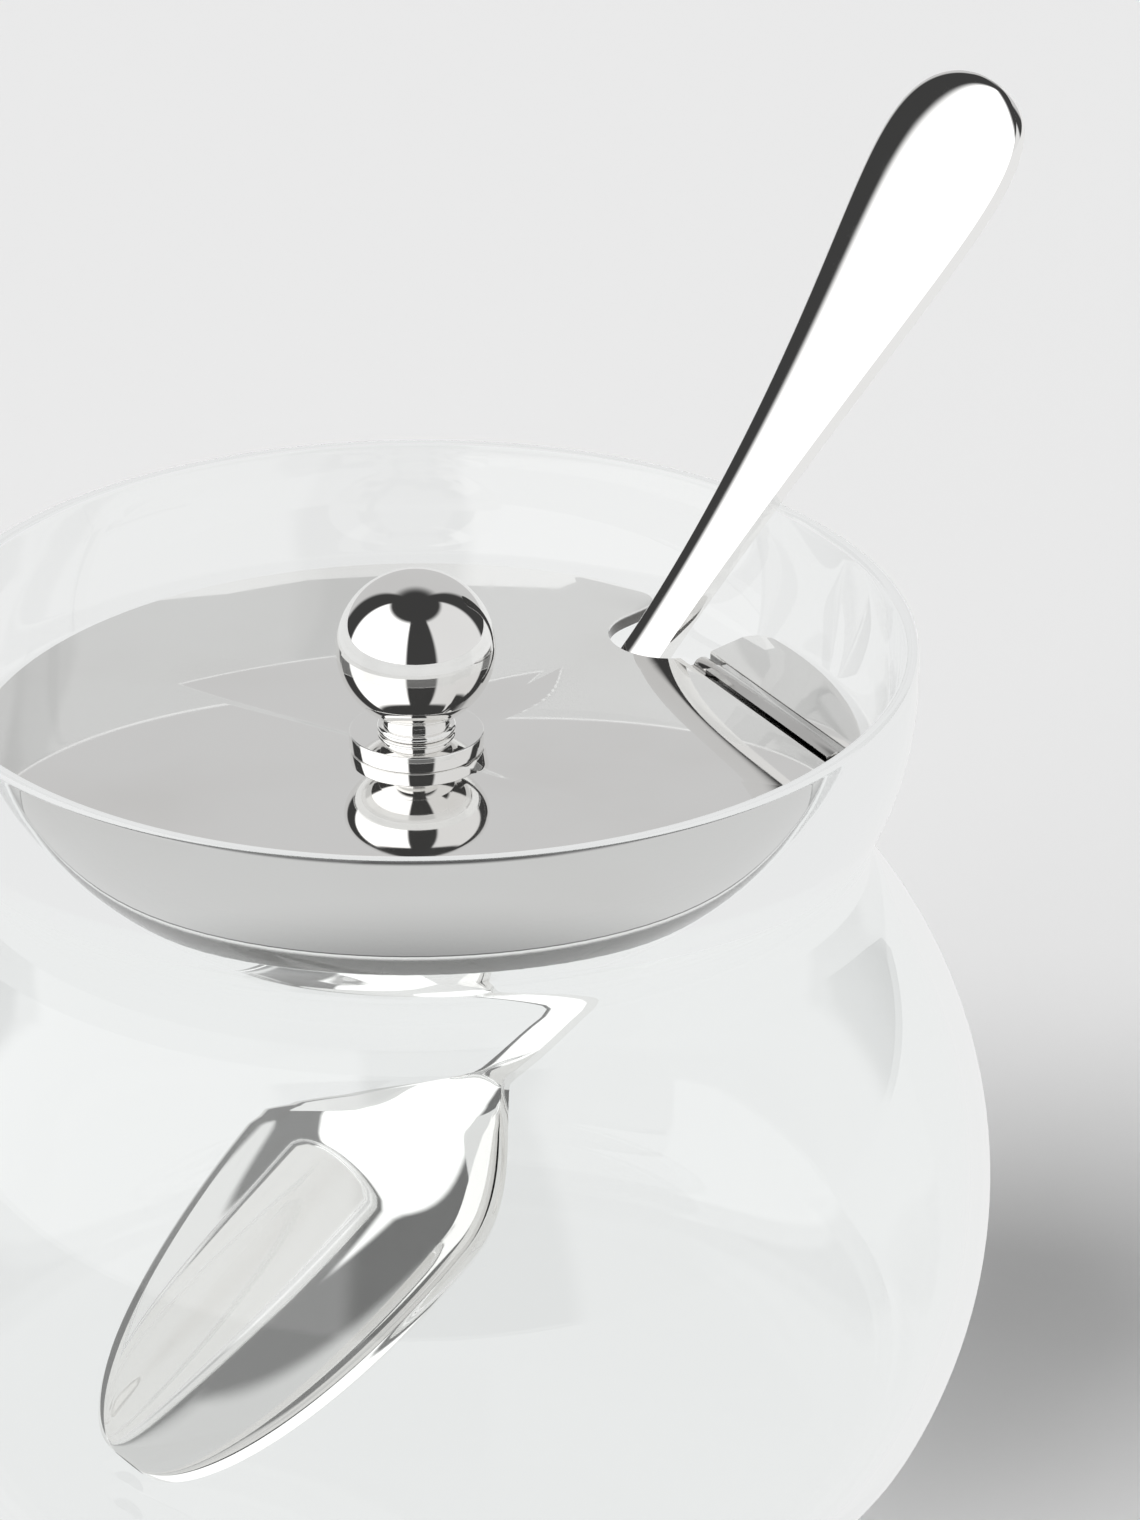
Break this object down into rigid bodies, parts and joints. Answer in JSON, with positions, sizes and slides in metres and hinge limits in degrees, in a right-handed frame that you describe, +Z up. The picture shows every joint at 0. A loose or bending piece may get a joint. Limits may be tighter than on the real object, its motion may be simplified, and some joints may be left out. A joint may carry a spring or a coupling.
{
  "type": "jam pot",
  "caption": "Glass jam pot with a waisted collar, a mirror-plated lid that opens on a hinge, a ball knob and a slot, and a spoon standing in the slot.",
  "frame": {"origin": "centre of the pot's flat underside, on the surface that it stands on", "axes": "+Z up along the pot's own axis; the spoon's slot opens between +X and +Y, and the picture was taken from -Y, above"},
  "size_m": [0.1149, 0.1108, 0.1257],
  "materials": {
    "clear_glass": "polished",
    "plated_silver": "mirror polished",
    "hinge_metal": "polished, slightly tarnished"
  },
  "bodies": {
    "pot": {"glass_pot": "clear_glass"},
    "lid": {"lid_segment": "plated_silver", "segment_knuckle": "hinge_metal", "hinge_pin": "hinge_metal"},
    "flap": {"lid_flap": "plated_silver", "flap_knuckles": "hinge_metal", "knob_base": "plated_silver", "knob_neck": "plated_silver", "knob_ball": "plated_silver", "knob_screw": "hinge_metal"},
    "spoon": {"spoon": "plated_silver"}
  },
  "joints": [
    {"name": "lid_lift", "type": "slide", "parent": "pot", "child": "lid", "axis": [0, 0, 1], "range_m": [0, 0.03]},
    {"name": "flap_hinge", "type": "hinge", "parent": "lid", "child": "flap", "pos_m": [0.02952, 0.01583, 0.075], "axis": [-0.4726, 0.8813, 0], "range_deg": [0, 50]},
    {"name": "spoon_slide", "type": "slide", "parent": "pot", "child": "spoon", "axis": [0.5641, 0.4054, 0.7193], "range_m": [0, 0.018]}
  ]
}
